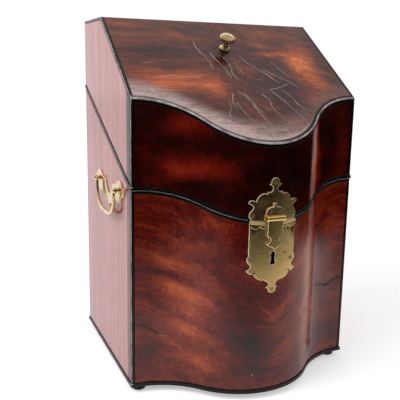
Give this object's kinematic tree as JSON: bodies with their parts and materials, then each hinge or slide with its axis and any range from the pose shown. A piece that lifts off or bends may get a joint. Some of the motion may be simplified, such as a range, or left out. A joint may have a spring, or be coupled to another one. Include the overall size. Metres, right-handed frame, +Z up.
{
  "type": "knife box",
  "caption": "Tall mahogany knife box with serpentine front, sloping hinged lid, slotted cutlery deck, brass hasp lock, bail handles and knob.",
  "frame": {"origin": "middle of the bounding box, on the surface that the feet stand on", "axes": "+Z up, the serpentine front faces -Y, the back with its hinges faces +Y, +X points right as seen from the front"},
  "size_m": [0.2456, 0.2376, 0.347],
  "materials": {
    "mahogany": "dark red polished veneer with figure and fine cracks",
    "ebonised": "black stained stringing, polished",
    "oak": "plain unpolished board",
    "brass": "aged polished brass",
    "steel": "old dull steel"
  },
  "bodies": {
    "base": {"base_front": "mahogany", "base_side_left": "mahogany", "base_side_right": "mahogany", "base_back": "mahogany", "deck_rear": "mahogany", "deck_middle": "mahogany", "deck_front": "mahogany", "deck_bulge": "mahogany", "base_bottom": "oak", "partition_1": "oak", "partition_2": "oak", "partition_3": "oak", "deck_bearer": "oak", "base_bead": "ebonised", "base_joint_string_left": "ebonised", "base_joint_string_right": "ebonised", "base_corner_string_left": "ebonised", "base_corner_string_right": "ebonised", "foot_front_left": "ebonised", "foot_front_right": "ebonised", "foot_back_left": "ebonised", "foot_back_right": "ebonised", "lock_plate": "brass", "lock_band_left": "brass", "lock_band_right": "brass", "hinge_base_leaf_left": "brass", "hinge_base_leaf_right": "brass", "hinge_pin_left": "brass", "hinge_pin_right": "brass", "left_handle_plate": "brass", "left_handle_post_a": "brass", "left_handle_post_b": "brass", "right_handle_plate": "brass", "right_handle_post_a": "brass", "right_handle_post_b": "brass", "lock_case": "steel", "lock_drill_pin": "steel"},
    "lid": {"lid_front": "mahogany", "lid_side_left": "mahogany", "lid_side_right": "mahogany", "lid_back": "mahogany", "lid_top": "mahogany", "lid_slope": "mahogany", "lid_joint_string": "ebonised", "lid_slope_string": "ebonised", "lid_top_string_left": "ebonised", "lid_top_string_right": "ebonised", "lid_corner_string_left": "ebonised", "lid_corner_string_right": "ebonised", "lid_plate": "brass", "hasp_leaf": "brass", "hasp_pin": "brass", "hinge_lid_leaf_left": "brass", "hinge_lid_leaf_right": "brass", "lid_knob": "brass"},
    "hasp": {"hasp": "brass", "hasp_staple": "brass"},
    "lock_bolt": {"lock_bolt": "steel"},
    "left_bail": {"left_bail": "brass"},
    "right_bail": {"right_bail": "brass"}
  },
  "joints": [
    {"name": "lid_hinge", "type": "hinge", "parent": "base", "child": "lid", "pos_m": [0, 0.1164, 0.27783], "axis": [-1, 0, 0], "range_deg": [0, 115]},
    {"name": "hasp_hinge", "type": "hinge", "parent": "lid", "child": "hasp", "pos_m": [0, -0.11645, 0.17207], "axis": [-1, 0, 0], "range_deg": [0, 165]},
    {"name": "lock_bolt_slide", "type": "slide", "parent": "base", "child": "lock_bolt", "axis": [-1, 0, 0], "range_m": [0, 0.0052]},
    {"name": "left_bail_hinge", "type": "hinge", "parent": "base", "child": "left_bail", "pos_m": [-0.12, 0.0116, 0.187], "axis": [0, 1, 0], "range_deg": [-5, 186]},
    {"name": "right_bail_hinge", "type": "hinge", "parent": "base", "child": "right_bail", "pos_m": [0.12, 0.0116, 0.187], "axis": [0, -1, 0], "range_deg": [-5, 186]}
  ]
}
